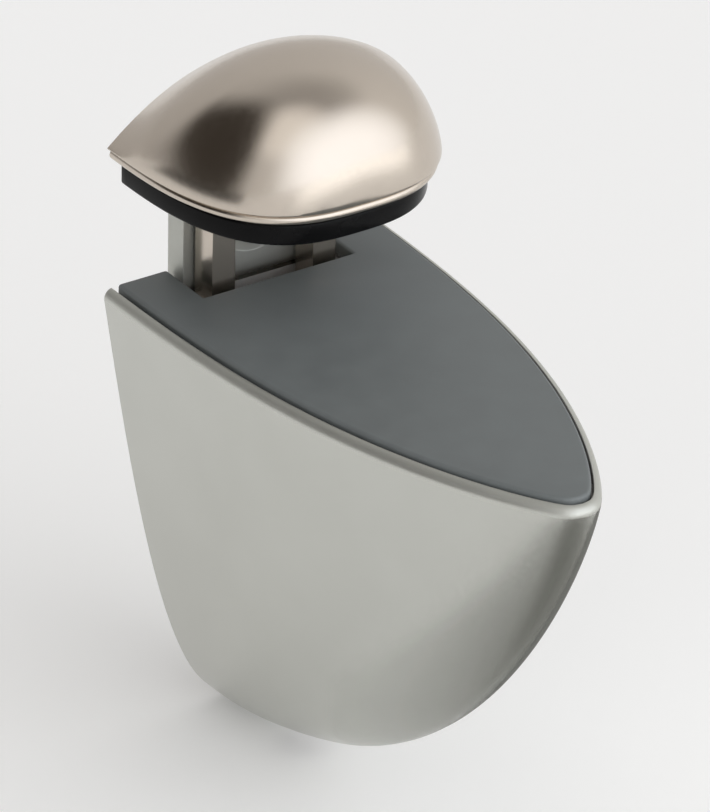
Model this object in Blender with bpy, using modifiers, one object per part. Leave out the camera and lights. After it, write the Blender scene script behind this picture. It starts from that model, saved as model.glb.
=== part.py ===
"""Clamp bracket that holds the back edge of a glass or wood shelf against a wall.

Two die-cast jaws hold the shelf. The lower jaw is a hollow leaf-shaped pouch that is fixed to the
wall. The upper jaw is a hollow dome on a forked tail, which slides in a slot of the lower jaw and is
drawn down by a captive clamp screw. Each jaw has a soft pad.

X runs along the wall. The wall is the plane Y = 0 and the bracket stands out towards -Y. Z = 0 is the
underside of the shelf. In the functions below, "out" is the distance from the wall.
"""
import math

import bmesh
import bpy

MM = 0.001

# Shelf and travel
SHELF_GAP = 8.0 * MM
SMALLEST_GAP = 3.0 * MM
LARGEST_GAP = 10.0 * MM
PLAY = 0.3 * MM
CUT_OVER = 1.0 * MM

# Pouch of the lower jaw
POUCH_HALF_WIDTH = 11.55 * MM
POUCH_LENGTH = 44.8 * MM
POUCH_DEPTH = 36.0 * MM
POUCH_NOSE_RADIUS = 2.2 * MM
PLAN_SIDE_POWER = 1.12
PLAN_NOSE_POWER = 2.6
WIDTH_DROP_POWER = 0.93
WIDTH_FULL_POWER = 2.38
LENGTH_DROP_POWER = 1.3
LENGTH_FULL_POWER = 2.2
RIM_DROP = 0.35 * MM
RIM_FILLET = 0.9 * MM
POUCH_WALL = 1.8 * MM
SEAT_PLATE = 2.1 * MM
RIB_THICKNESS = 1.6 * MM
RIB_START = 22.0 * MM
FLOOR_THICKNESS = 3.2 * MM
SMALLEST_NOSE_SHARE = 0.15
LEAF_STEPS = 16
POUCH_STEPS = 18
CAVITY_STEPS = 10
FILLET_STEPS = 4

# Lower pad
LOWER_PAD_THICKNESS = 1.2 * MM
PAD_RIM = 0.8 * MM
PAD_EDGE_RADIUS = 0.25 * MM
PAD_EDGE_STEPS = 2

# Upstand with the wall-screw hole
UPSTAND_THICKNESS = 2.0 * MM
UPSTAND_HALF_WIDTH = 6.0 * MM
UPSTAND_TOP_CLEARANCE = 0.7 * MM
UPSTAND_CORNER = 2.0 * MM
BACK_WEB_HEIGHT = 7.5 * MM
WALL_HOLE_RADIUS = 1.9 * MM
WALL_HOLE_HEIGHT = 3.8 * MM
COUNTERSINK_RADIUS = 3.2 * MM

# Dome of the upper jaw
DOME_NARROWER_BY = 0.4 * MM
DOME_HALF_WIDTH = POUCH_HALF_WIDTH - DOME_NARROWER_BY
DOME_LENGTH = 16.5 * MM
DOME_RISE = 4.8 * MM
DOME_CROWN = 8.0 * MM
DOME_CROWN_OUT = 8.0 * MM
DOME_PLAN_POWER = 2.75
DOME_FRONT_POWER = 2.5
DOME_WALL_FULLNESS = 1.0
DOME_CROWN_FULLNESS = 0.5
DOME_EDGE_FULLNESS = 0.64
DOME_EDGE_POWER = 6.0
DOME_WALL = 1.8 * MM
DOME_RAYS = 36
DOME_RINGS = 18

# Lip of the dome: a groove under the rim and a half-round bead below it
LIP_HEIGHT = 0.9 * MM
RIM_EDGE = 0.08 * MM
GROOVE_DROP = 0.26 * MM
GROOVE_INSET = 0.42 * MM
BEAD_BULGE = 0.22 * MM
BEAD_STEPS = 5

# Upper pad
UPPER_PAD_THICKNESS = 1.7 * MM
UPPER_PAD_SETBACK = 0.48 * MM
UPPER_PAD_INSET = GROOVE_INSET + UPPER_PAD_SETBACK

# Forked tail of the upper jaw
LEG_OUTER = 5.2 * MM
LEG_WIDTH = 1.9 * MM
LEG_THICKNESS = 2.3 * MM
FOOT_HEIGHT = 5.0 * MM
UPPER_SPARE_SHARE = 0.54
BOSS_RADIUS = 3.7 * MM

# Clamp screw and what holds it
SCREW_OUT = 9.5 * MM
SCREW_RADIUS = 1.5 * MM
SCREW_HEAD_RADIUS = 2.75 * MM
SCREW_HEAD_HEIGHT = 3.0 * MM
SCREW_CHAMFER = 0.35 * MM
SOCKET_ACROSS_FLATS = 2.5 * MM
SOCKET_DEPTH = 1.5 * MM
SCREW_TIP_SPARE = 1.0 * MM
WASHER_RADIUS = 3.2 * MM
WASHER_THICKNESS = 0.5 * MM
SEAT_WEB_THICKNESS = 2.5 * MM
CLIP_THICKNESS = 0.6 * MM
CLIP_RADIUS = 3.0 * MM
CLIP_RING = 0.9 * MM
CLIP_LOBE = 0.8 * MM
CLIP_MOUTH_DEG = 70.0
GROOVE_RADIUS = 1.0 * MM
KEY_HOLE_RADIUS = 1.9 * MM
ROUND_STEPS = 32
CLIP_STEPS = 40
CORNER_STEPS = 6

# Edges that turn by more than this are sharp
SHARP_DEG = 30.0

# Heights that follow from the sizes above
TRAVEL_DOWN = SHELF_GAP - SMALLEST_GAP
TRAVEL_UP = LARGEST_GAP - SHELF_GAP
RECESS_FLOOR = -(LOWER_PAD_THICKNESS + PLAY)
SEAT_UNDERSIDE = RECESS_FLOOR - SEAT_PLATE
CAVITY_FLOOR = -(POUCH_DEPTH - FLOOR_THICKNESS)
SCREW_STACK = (FOOT_HEIGHT + TRAVEL_DOWN + CLIP_THICKNESS + SEAT_WEB_THICKNESS
               + WASHER_THICKNESS + SCREW_HEAD_HEIGHT + 5.0 * PLAY)
HIGHEST_FOOT_TOP = SEAT_UNDERSIDE - TRAVEL_UP
SPARE_HEIGHT = HIGHEST_FOOT_TOP - SCREW_STACK - CAVITY_FLOOR
FOOT_TOP = HIGHEST_FOOT_TOP - UPPER_SPARE_SHARE * SPARE_HEIGHT
FOOT_BOTTOM = FOOT_TOP - FOOT_HEIGHT
CLIP_TOP = FOOT_BOTTOM - TRAVEL_DOWN - 2.0 * PLAY
CLIP_BOTTOM = CLIP_TOP - CLIP_THICKNESS
WEB_TOP = CLIP_BOTTOM - PLAY
WEB_BOTTOM = WEB_TOP - SEAT_WEB_THICKNESS
WASHER_TOP = WEB_BOTTOM - PLAY
WASHER_BOTTOM = WASHER_TOP - WASHER_THICKNESS
HEAD_TOP = WASHER_BOTTOM - PLAY
HEAD_BOTTOM = HEAD_TOP - SCREW_HEAD_HEIGHT
SCREW_TIP = FOOT_TOP + TRAVEL_UP + SCREW_TIP_SPARE
UPPER_PAD_TOP = SHELF_GAP + UPPER_PAD_THICKNESS
LIP_BOTTOM = UPPER_PAD_TOP + PLAY
DOME_RIM = LIP_BOTTOM + LIP_HEIGHT
LEG_BACK = UPSTAND_THICKNESS + PLAY
LEG_FRONT = LEG_BACK + LEG_THICKNESS
LEG_INNER = LEG_OUTER - LEG_WIDTH
NOTCH_HALF_WIDTH = UPSTAND_HALF_WIDTH + PLAY
NOTCH_DEPTH = LEG_FRONT + 2.0 * PLAY


def clear_scene():
    for item in list(bpy.data.objects):
        bpy.data.objects.remove(item, do_unlink=True)


def make_collection(name):
    group = bpy.data.collections.new(name)
    bpy.context.scene.collection.children.link(group)
    return group


def make_material(name, colour, roughness, metallic):
    material = bpy.data.materials.new(name)
    material.use_nodes = True
    shader = material.node_tree.nodes["Principled BSDF"]
    shader.inputs["Base Color"].default_value = (*colour, 1.0)
    shader.inputs["Roughness"].default_value = roughness
    shader.inputs["Metallic"].default_value = metallic
    return material


clear_scene()
PARTS = make_collection("shelf_support")
CUTTERS = make_collection("cutters")


# Building blocks

def finish_mesh(name, mesh_data, group):
    """Turn a bmesh into an object whose faces point out."""
    mesh_data.normal_update()
    bmesh.ops.recalc_face_normals(mesh_data, faces=mesh_data.faces)
    mesh = bpy.data.meshes.new(name)
    mesh_data.to_mesh(mesh)
    mesh_data.free()
    item = bpy.data.objects.new(name, mesh)
    group.objects.link(item)
    if group is CUTTERS:
        item.hide_render = True
        item.display_type = "WIRE"
    return item


def plan_point(across, out, height):
    return (across, -out, height)


def front_point(across, height, out):
    return (across, -out, height)


def loft(name, rings, group):
    """Solid through closed rings of equal length, capped at both ends."""
    mesh_data = bmesh.new()
    rows = [[mesh_data.verts.new(point) for point in ring] for ring in rings]
    for upper, lower in zip(rows, rows[1:]):
        for index in range(len(upper)):
            following = (index + 1) % len(upper)
            mesh_data.faces.new((upper[index], upper[following], lower[following], lower[index]))
    mesh_data.faces.new(rows[0])
    mesh_data.faces.new(rows[-1])
    return finish_mesh(name, mesh_data, group)


def extruded(name, outline, start, end, place, group):
    """Solid of one flat outline between two distances along the third direction."""
    rings = [[place(u, v, distance) for u, v in outline] for distance in (start, end)]
    return loft(name, rings, group)


def box(name, low, high, group):
    """Box between two corners given as (across, out, height)."""
    mesh_data = bmesh.new()
    bmesh.ops.create_cube(mesh_data, size=1.0)
    for vertex in mesh_data.verts:
        across = low[0] if vertex.co.x < 0 else high[0]
        out = low[1] if vertex.co.y < 0 else high[1]
        height = low[2] if vertex.co.z < 0 else high[2]
        vertex.co = plan_point(across, out, height)
    return finish_mesh(name, mesh_data, group)


def turned(name, profile, closed, group):
    """Turned solid about Z. The profile is (radius, height), down its outer side."""
    mesh = bpy.data.meshes.new(name)
    edges = [(index, index + 1) for index in range(len(profile) - 1)]
    if closed:
        edges.append((len(profile) - 1, 0))
    mesh.from_pydata([(radius, 0.0, height) for radius, height in profile], edges, [])
    item = bpy.data.objects.new(name, mesh)
    group.objects.link(item)
    screw = item.modifiers.new("turn", "SCREW")
    screw.angle = math.tau
    screw.steps = ROUND_STEPS
    screw.render_steps = ROUND_STEPS
    screw.use_merge_vertices = True
    screw.merge_threshold = 0.000001
    if group is CUTTERS:
        item.hide_render = True
        item.display_type = "WIRE"
    return item


def combine(target, tool, operation):
    boolean = target.modifiers.new(tool.name, "BOOLEAN")
    boolean.operation = operation
    boolean.solver = "EXACT"
    boolean.object = tool


def cut(target, tool):
    combine(target, tool, "DIFFERENCE")


def join(target, tool):
    combine(target, tool, "UNION")


def rounded(item, radius, steps):
    bevel = item.modifiers.new("rounded_edges", "BEVEL")
    bevel.width = radius
    bevel.segments = steps
    bevel.limit_method = "ANGLE"
    bevel.angle_limit = math.radians(SHARP_DEG)


def give_material(item, material):
    item.data.materials.append(material)
    item.data.shade_smooth()
    item.data.set_sharp_from_angle(angle=math.radians(SHARP_DEG))


# Leaf form of the pouch

def leaf(half_width, length, nose_radius):
    """Plan outline from the right wall corner round the nose to the left wall corner.

    A superellipse is offset outwards by the nose radius, which blunts its tip.
    """
    core_width = half_width - nose_radius
    core_length = length - nose_radius
    right = []
    for step in range(LEAF_STEPS + 1):
        turn = math.pi / 2.0 * (1.0 - (1.0 - step / LEAF_STEPS) ** 2)
        across = max(math.cos(turn), 0.0) ** (2.0 / PLAN_SIDE_POWER)
        along = math.sin(turn) ** (2.0 / PLAN_NOSE_POWER)
        slope_x = PLAN_SIDE_POWER * across ** (PLAN_SIDE_POWER - 1.0) / core_width
        slope_y = PLAN_NOSE_POWER * along ** (PLAN_NOSE_POWER - 1.0) / core_length
        steepness = math.hypot(slope_x, slope_y)
        x = core_width * across + nose_radius * slope_x / steepness
        out = core_length * along + nose_radius * slope_y / steepness
        right.append((x, out))
    right[-1] = (0.0, length)
    return right + [(-x, out) for x, out in reversed(right[:-1])]


def pouch_outline(drop, inset):
    """Outline of the pouch at a depth below the shelf, offset inwards by inset."""
    share = min(max(drop / POUCH_DEPTH, 0.0), 0.9995)
    width_share = (1.0 - share ** WIDTH_DROP_POWER) ** (1.0 / WIDTH_FULL_POWER)
    length_share = (1.0 - share ** LENGTH_DROP_POWER) ** (1.0 / LENGTH_FULL_POWER)
    half_width = POUCH_HALF_WIDTH * width_share - inset
    length = POUCH_LENGTH * length_share - inset
    nose_radius = max(POUCH_NOSE_RADIUS * width_share - inset, SMALLEST_NOSE_SHARE * half_width)
    return leaf(half_width, length, nose_radius)


def open_at_wall(outline):
    """The same outline carried back through the wall plane, for a cutter."""
    first = (outline[0][0], -CUT_OVER)
    last = (outline[-1][0], -CUT_OVER)
    return [first] + outline + [last]


def pouch_rings():
    rings = []
    for step in range(FILLET_STEPS + 1):
        turn = math.pi / 2.0 * step / FILLET_STEPS
        inset = RIM_FILLET * (1.0 - math.sin(turn))
        drop = RIM_DROP + RIM_FILLET * (1.0 - math.cos(turn))
        rings.append([plan_point(x, out, -drop) for x, out in pouch_outline(drop, inset)])
    top = RIM_DROP + RIM_FILLET
    for step in range(1, POUCH_STEPS + 1):
        drop = top + (POUCH_DEPTH - top) * math.sin(math.pi / 2.0 * step / POUCH_STEPS)
        rings.append([plan_point(x, out, -drop) for x, out in pouch_outline(drop, 0.0)])
    return rings


def pouch_cavity(name, top, bottom):
    """Cutter for the hollow of the pouch between two heights, open at the wall."""
    rings = []
    for step in range(CAVITY_STEPS + 1):
        height = top + (bottom - top) * step / CAVITY_STEPS
        outline = open_at_wall(pouch_outline(-height, POUCH_WALL))
        rings.append([plan_point(x, out, height) for x, out in outline])
    return loft(name, rings, CUTTERS)


def upstand_outline(top):
    """Back web between the side walls, with the rounded upstand on it, as (across, height)."""
    web_bottom = RECESS_FLOOR - BACK_WEB_HEIGHT
    web_half = pouch_outline(-web_bottom, 0.5 * POUCH_WALL)[0][0]
    right = [(web_half, web_bottom), (web_half, RECESS_FLOOR), (UPSTAND_HALF_WIDTH, RECESS_FLOOR)]
    for step in range(CORNER_STEPS + 1):
        turn = math.pi / 2.0 * step / CORNER_STEPS
        x = UPSTAND_HALF_WIDTH - UPSTAND_CORNER * (1.0 - math.cos(turn))
        height = top - UPSTAND_CORNER * (1.0 - math.sin(turn))
        right.append((x, height))
    return right + [(-x, height) for x, height in reversed(right)]


def make_lower_jaw(material):
    jaw = loft("lower_jaw", pouch_rings(), PARTS)

    recess = extruded("cut_pad_recess", open_at_wall(pouch_outline(0.0, PAD_RIM)),
                      RECESS_FLOOR, CUT_OVER, plan_point, CUTTERS)
    cut(jaw, recess)

    upper_cavity = pouch_cavity("cut_upper_cavity", SEAT_UNDERSIDE, WEB_TOP)
    rib = box("keep_nose_rib", (-RIB_THICKNESS / 2, RIB_START, WEB_TOP - CUT_OVER),
              (RIB_THICKNESS / 2, POUCH_LENGTH, CUT_OVER), CUTTERS)
    cut(upper_cavity, rib)
    cut(jaw, upper_cavity)
    cut(jaw, pouch_cavity("cut_lower_cavity", WEB_BOTTOM, CAVITY_FLOOR))

    roof_at_wall = DOME_RIM + dome_height(LEG_OUTER, 0.0, DOME_WALL) - TRAVEL_DOWN
    upstand_top = roof_at_wall - UPSTAND_TOP_CLEARANCE
    upstand = extruded("add_upstand", upstand_outline(upstand_top), 0.0, UPSTAND_THICKNESS,
                       front_point, CUTTERS)
    join(jaw, upstand)

    slot = box("cut_tail_slot", (-LEG_OUTER - PLAY, UPSTAND_THICKNESS, SEAT_UNDERSIDE - CUT_OVER),
               (LEG_OUTER + PLAY, LEG_FRONT + PLAY, CUT_OVER), CUTTERS)
    cut(jaw, slot)

    sink_depth = COUNTERSINK_RADIUS - WALL_HOLE_RADIUS
    hole = turned("cut_wall_hole", [
        (0.0, UPSTAND_THICKNESS + CUT_OVER),
        (COUNTERSINK_RADIUS + CUT_OVER, UPSTAND_THICKNESS + CUT_OVER),
        (COUNTERSINK_RADIUS, UPSTAND_THICKNESS),
        (WALL_HOLE_RADIUS, UPSTAND_THICKNESS - sink_depth),
        (WALL_HOLE_RADIUS, -CUT_OVER),
        (0.0, -CUT_OVER)], False, CUTTERS)
    hole.rotation_euler = (math.pi / 2.0, 0.0, 0.0)
    hole.location = (0.0, 0.0, WALL_HOLE_HEIGHT)
    cut(jaw, hole)

    slide_in = box("cut_screw_slide_in",
                   (-SCREW_RADIUS - PLAY, -CUT_OVER, WEB_BOTTOM - CUT_OVER),
                   (SCREW_RADIUS + PLAY, SCREW_OUT, WEB_TOP + CUT_OVER), CUTTERS)
    cut(jaw, slide_in)
    for name, radius, low, high in (
            ("cut_screw_hole", SCREW_RADIUS + PLAY, WEB_BOTTOM - CUT_OVER, WEB_TOP + CUT_OVER),
            ("cut_key_hole", KEY_HOLE_RADIUS, -POUCH_DEPTH - CUT_OVER, CAVITY_FLOOR + CUT_OVER)):
        bore = turned(name, [(0.0, high), (radius, high), (radius, low), (0.0, low)], False, CUTTERS)
        bore.location = plan_point(0.0, SCREW_OUT, 0.0)
        cut(jaw, bore)
    give_material(jaw, material)
    return jaw


def notched(outline):
    """Pad outline with a notch at the wall for the upstand and the tail."""
    back = PLAY
    trimmed = [(x, max(out, back)) for x, out in outline]
    notch = [(-NOTCH_HALF_WIDTH, back), (-NOTCH_HALF_WIDTH, NOTCH_DEPTH),
             (NOTCH_HALF_WIDTH, NOTCH_DEPTH), (NOTCH_HALF_WIDTH, back)]
    return trimmed + notch


def make_lower_pad(material):
    pad = extruded("lower_pad", notched(pouch_outline(0.0, PAD_RIM + PLAY)),
                   -LOWER_PAD_THICKNESS, 0.0, plan_point, PARTS)
    rounded(pad, PAD_EDGE_RADIUS, PAD_EDGE_STEPS)
    give_material(pad, material)
    return pad


# Dome form of the upper jaw

def dome_height(across, out, wall):
    """Height of the dome over its rim at a place in plan, for the surface that lies wall inside.

    The ridge climbs from the wall to the crown and falls steeply to the front. Across it, the
    section is a low arch at the wall and a full half-ellipse from the crown forwards, which turns
    in towards its foot.
    """
    length = DOME_LENGTH - wall
    crown = DOME_CROWN - wall
    rise = DOME_RISE - wall
    plan_share = min(out / length, 1.0) ** DOME_PLAN_POWER
    half_width = (DOME_HALF_WIDTH - wall) * (1.0 - plan_share) ** (1.0 / DOME_PLAN_POWER)
    if abs(across) >= half_width:
        return 0.0
    behind = max(1.0 - out / DOME_CROWN_OUT, 0.0) ** 2
    fullness = DOME_CROWN_FULLNESS + (DOME_WALL_FULLNESS - DOME_CROWN_FULLNESS) * behind
    if out < DOME_CROWN_OUT:
        ridge = crown - (crown - rise) * behind
    else:
        fall = min((out - DOME_CROWN_OUT) / (length - DOME_CROWN_OUT), 1.0)
        ridge = crown * (1.0 - fall ** DOME_FRONT_POWER) ** (1.0 / DOME_FRONT_POWER)
    share = abs(across) / half_width
    fullness += max(DOME_EDGE_FULLNESS - fullness, 0.0) * share ** DOME_EDGE_POWER
    return ridge * (1.0 - share ** 2) ** fullness


def dome_outline(inset):
    """Plan outline of the dome from the right wall corner round the front to the left one."""
    outline = []
    for ray in range(DOME_RAYS + 1):
        turn = math.pi * ray / DOME_RAYS
        across = math.copysign(abs(math.cos(turn)) ** (2.0 / DOME_PLAN_POWER), math.cos(turn))
        along = max(math.sin(turn), 0.0) ** (2.0 / DOME_PLAN_POWER)
        outline.append(((DOME_HALF_WIDTH - inset) * across, (DOME_LENGTH - inset) * along))
    outline[0] = (DOME_HALF_WIDTH - inset, 0.0)
    outline[-1] = (-(DOME_HALF_WIDTH - inset), 0.0)
    return outline


def dome_solid(name, wall, skirts, behind, group):
    """Solid under the dome surface that lies wall inside, with skirt rings below the rim.

    Each skirt is (inset, height). The flat side at the wall is carried back by behind.
    """
    mesh_data = bmesh.new()
    rim = dome_outline(wall)
    rings = []
    for step in range(1, DOME_RINGS + 1):
        share = math.sin(math.pi / 2.0 * step / DOME_RINGS)
        ring = []
        for x, out in rim:
            height = DOME_RIM + dome_height(x * share, out * share, wall)
            ring.append((x * share, out * share, height))
        rings.append(ring)
    for inset, height in skirts:
        rings.append([(x, out, height) for x, out in dome_outline(inset)])
    rows = [[mesh_data.verts.new(plan_point(*point)) for point in ring] for ring in rings]
    pole = mesh_data.verts.new(plan_point(0.0, 0.0, DOME_RIM + dome_height(0.0, 0.0, wall)))
    for near, far in zip(rows[0], rows[0][1:]):
        mesh_data.faces.new((pole, near, far))
    for upper, lower in zip(rows, rows[1:]):
        for index in range(len(upper) - 1):
            mesh_data.faces.new((upper[index], upper[index + 1], lower[index + 1], lower[index]))
    mesh_data.faces.new(rows[-1])
    right_side = [row[0] for row in reversed(rows)]
    left_side = [row[-1] for row in rows]
    side = mesh_data.faces.new(right_side + [pole] + left_side)
    if behind > 0.0:
        carried = bmesh.ops.extrude_discrete_faces(mesh_data, faces=[side])["faces"][0]
        bmesh.ops.translate(mesh_data, vec=(0.0, behind, 0.0), verts=carried.verts)
    return finish_mesh(name, mesh_data, group)


def boss_outline():
    """Plan of the threaded boss: straight sides from the legs, round about the screw."""
    outline = [(BOSS_RADIUS, LEG_BACK)]
    half_steps = ROUND_STEPS // 2
    for step in range(half_steps + 1):
        turn = math.pi * step / half_steps
        outline.append((BOSS_RADIUS * math.cos(turn), SCREW_OUT + BOSS_RADIUS * math.sin(turn)))
    outline.append((-BOSS_RADIUS, LEG_BACK))
    return outline


def lip_profile():
    """Lip under the rim as (inset, height): a small edge, the groove, then the bead."""
    groove = DOME_RIM - GROOVE_DROP
    profile = [(0.5 * RIM_EDGE, DOME_RIM - RIM_EDGE), (GROOVE_INSET, groove)]
    for step in range(1, BEAD_STEPS + 1):
        turn = math.pi * step / BEAD_STEPS
        inset = GROOVE_INSET - BEAD_BULGE * math.sin(turn)
        height = LIP_BOTTOM + 0.5 * (groove - LIP_BOTTOM) * (1.0 + math.cos(turn))
        profile.append((inset, height))
    return profile


def make_upper_jaw(material):
    jaw = dome_solid("upper_jaw", 0.0, lip_profile(), 0.0, PARTS)

    leg_top = DOME_RIM + 0.5 * DOME_RISE
    right = [(LEG_OUTER, FOOT_BOTTOM), (LEG_OUTER, leg_top), (LEG_INNER, leg_top),
             (LEG_INNER, FOOT_TOP)]
    fork_outline = right + [(-x, height) for x, height in reversed(right)]
    fork = extruded("add_fork", fork_outline, LEG_BACK, LEG_FRONT, front_point, CUTTERS)
    join(jaw, fork)
    boss = extruded("add_boss", boss_outline(), FOOT_BOTTOM, FOOT_TOP, plan_point, CUTTERS)
    join(jaw, boss)

    skirts = [(DOME_WALL, LIP_BOTTOM - CUT_OVER)]
    cavity = dome_solid("cut_dome_cavity", DOME_WALL, skirts, CUT_OVER, CUTTERS)
    for name, low, high in (("keep_right_leg", LEG_INNER, LEG_OUTER),
                            ("keep_left_leg", -LEG_OUTER, -LEG_INNER)):
        leg = box(name, (low, LEG_BACK, FOOT_BOTTOM),
                  (high, LEG_FRONT, DOME_RIM + DOME_CROWN), CUTTERS)
        cut(cavity, leg)
    cut(jaw, cavity)

    thread_radius = SCREW_RADIUS + PLAY
    high = FOOT_TOP + CUT_OVER
    low = FOOT_BOTTOM - CUT_OVER
    thread = turned("cut_thread", [(0.0, high), (thread_radius, high), (thread_radius, low),
                                   (0.0, low)], False, CUTTERS)
    thread.location = plan_point(0.0, SCREW_OUT, 0.0)
    cut(jaw, thread)
    give_material(jaw, material)
    return jaw


def make_upper_pad(material):
    """Soft plate under the dome, with a thicker middle that sits inside it."""
    plate = extruded("upper_pad", notched(dome_outline(UPPER_PAD_INSET)),
                     SHELF_GAP, UPPER_PAD_TOP, plan_point, PARTS)
    rounded(plate, PAD_EDGE_RADIUS, PAD_EDGE_STEPS)
    plug = extruded("add_pad_plug", notched(dome_outline(DOME_WALL + PLAY)),
                    UPPER_PAD_TOP - PLAY, DOME_RIM - PLAY, plan_point, CUTTERS)
    join(plate, plug)
    give_material(plate, material)
    return plate


# Clamp screw

def make_clamp_screw(material):
    """Socket-head screw, head down, with a groove for its retaining clip."""
    groove_top = CLIP_TOP + PLAY
    groove_bottom = CLIP_BOTTOM - PLAY
    screw = turned("clamp_screw", [
        (0.0, SCREW_TIP),
        (SCREW_RADIUS - SCREW_CHAMFER, SCREW_TIP),
        (SCREW_RADIUS, SCREW_TIP - SCREW_CHAMFER),
        (SCREW_RADIUS, groove_top),
        (GROOVE_RADIUS, groove_top),
        (GROOVE_RADIUS, groove_bottom),
        (SCREW_RADIUS, groove_bottom),
        (SCREW_RADIUS, HEAD_TOP),
        (SCREW_HEAD_RADIUS, HEAD_TOP),
        (SCREW_HEAD_RADIUS, HEAD_BOTTOM + SCREW_CHAMFER),
        (SCREW_HEAD_RADIUS - SCREW_CHAMFER, HEAD_BOTTOM),
        (0.0, HEAD_BOTTOM)], False, PARTS)
    screw.location = plan_point(0.0, SCREW_OUT, 0.0)

    socket_radius = SOCKET_ACROSS_FLATS / math.sqrt(3.0)
    mesh_data = bmesh.new()
    bmesh.ops.create_cone(mesh_data, cap_ends=True, segments=6, radius1=socket_radius,
                          radius2=socket_radius, depth=2.0 * SOCKET_DEPTH)
    socket = finish_mesh("cut_hex_socket", mesh_data, CUTTERS)
    socket.location = plan_point(0.0, SCREW_OUT, HEAD_BOTTOM)
    cut(screw, socket)
    give_material(screw, material)
    return screw


def make_washer(material):
    inner = SCREW_RADIUS + PLAY
    washer = turned("screw_washer", [(inner, WASHER_TOP), (WASHER_RADIUS, WASHER_TOP),
                                     (WASHER_RADIUS, WASHER_BOTTOM), (inner, WASHER_BOTTOM)],
                    True, PARTS)
    washer.location = plan_point(0.0, SCREW_OUT, 0.0)
    give_material(washer, material)
    return washer


def clip_outline():
    """Open retaining clip: a ring with three lobes that reach into the screw's groove."""
    lobe_radius = GROOVE_RADIUS + PLAY
    ring_radius = CLIP_RADIUS - CLIP_RING
    half_mouth = math.radians(CLIP_MOUTH_DEG) / 2.0
    start = -math.pi / 2.0 + half_mouth
    sweep = math.tau - 2.0 * half_mouth
    outer = []
    inner = []
    lobe_half_angle = CLIP_LOBE / lobe_radius / 2.0
    for step in range(CLIP_STEPS + 1):
        turn = start + sweep * step / CLIP_STEPS
        outer.append((CLIP_RADIUS * math.cos(turn), SCREW_OUT + CLIP_RADIUS * math.sin(turn)))
        at_lobe = any(abs(turn - centre) <= lobe_half_angle
                      for centre in (start + lobe_half_angle, math.pi / 2.0,
                                     start + sweep - lobe_half_angle))
        radius = lobe_radius if at_lobe else ring_radius
        inner.append((radius * math.cos(turn), SCREW_OUT + radius * math.sin(turn)))
    return outer + inner[::-1]


def make_clip(material):
    clip = extruded("retaining_clip", clip_outline(), CLIP_BOTTOM, CLIP_TOP, plan_point, PARTS)
    give_material(clip, material)
    return clip


satin_nickel = make_material("satin_nickel", (0.62, 0.58, 0.54), 0.32, 1.0)
zinc_steel = make_material("zinc_steel", (0.55, 0.56, 0.58), 0.35, 1.0)
black_rubber = make_material("black_rubber", (0.012, 0.012, 0.013), 0.25, 0.0)
grey_rubber = make_material("grey_rubber", (0.15, 0.16, 0.17), 0.6, 0.0)

make_lower_jaw(satin_nickel)
make_lower_pad(grey_rubber)
make_upper_jaw(satin_nickel)
make_upper_pad(black_rubber)
make_clamp_screw(zinc_steel)
make_washer(zinc_steel)
make_clip(zinc_steel)
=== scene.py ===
import math

import bmesh
import bpy
from mathutils import Matrix, Vector


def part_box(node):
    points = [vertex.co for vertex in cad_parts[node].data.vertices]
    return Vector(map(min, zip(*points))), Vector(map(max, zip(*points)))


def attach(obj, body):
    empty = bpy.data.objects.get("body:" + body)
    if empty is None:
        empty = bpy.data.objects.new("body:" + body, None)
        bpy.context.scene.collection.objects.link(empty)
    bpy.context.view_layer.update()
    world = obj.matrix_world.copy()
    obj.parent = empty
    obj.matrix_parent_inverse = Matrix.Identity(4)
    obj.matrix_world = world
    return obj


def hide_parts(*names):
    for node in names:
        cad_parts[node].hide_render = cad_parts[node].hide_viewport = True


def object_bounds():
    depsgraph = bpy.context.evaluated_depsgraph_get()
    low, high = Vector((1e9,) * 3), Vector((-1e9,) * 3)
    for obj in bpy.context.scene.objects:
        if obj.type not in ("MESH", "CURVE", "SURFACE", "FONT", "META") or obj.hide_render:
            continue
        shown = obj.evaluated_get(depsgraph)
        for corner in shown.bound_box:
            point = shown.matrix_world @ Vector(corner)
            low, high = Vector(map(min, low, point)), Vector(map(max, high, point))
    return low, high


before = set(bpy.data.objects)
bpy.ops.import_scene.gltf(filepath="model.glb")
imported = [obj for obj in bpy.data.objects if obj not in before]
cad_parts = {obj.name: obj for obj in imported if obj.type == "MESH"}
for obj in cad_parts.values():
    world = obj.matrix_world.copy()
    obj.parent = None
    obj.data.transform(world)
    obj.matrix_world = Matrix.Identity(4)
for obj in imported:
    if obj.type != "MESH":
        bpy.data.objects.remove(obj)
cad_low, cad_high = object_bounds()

MM = 0.001
SHAPES = bpy.context.scene.collection

# Meshes are made twice as fine
FINE = 2

# Sizes, the same as in the CAD model
SHELF_GAP = 8.0 * MM
PLAY = 0.3 * MM
CUT_OVER = 1.0 * MM
POUCH_HALF_WIDTH = 11.55 * MM
POUCH_LENGTH = 44.8 * MM
POUCH_DEPTH = 36.0 * MM
POUCH_NOSE_RADIUS = 2.2 * MM
PLAN_SIDE_POWER = 1.12
PLAN_NOSE_POWER = 2.6
WIDTH_DROP_POWER = 0.93
WIDTH_FULL_POWER = 2.38
LENGTH_DROP_POWER = 1.3
LENGTH_FULL_POWER = 2.2
RIM_DROP = 0.35 * MM
RIM_FILLET = 0.9 * MM
POUCH_WALL = 1.8 * MM
SEAT_PLATE = 2.1 * MM
RIB_THICKNESS = 1.6 * MM
RIB_START = 22.0 * MM
FLOOR_THICKNESS = 3.2 * MM
SMALLEST_NOSE_SHARE = 0.15
LOWER_PAD_THICKNESS = 1.2 * MM
PAD_RIM = 0.8 * MM
UPSTAND_THICKNESS = 2.0 * MM
UPSTAND_HALF_WIDTH = 6.0 * MM
UPSTAND_CORNER = 2.0 * MM
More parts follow.
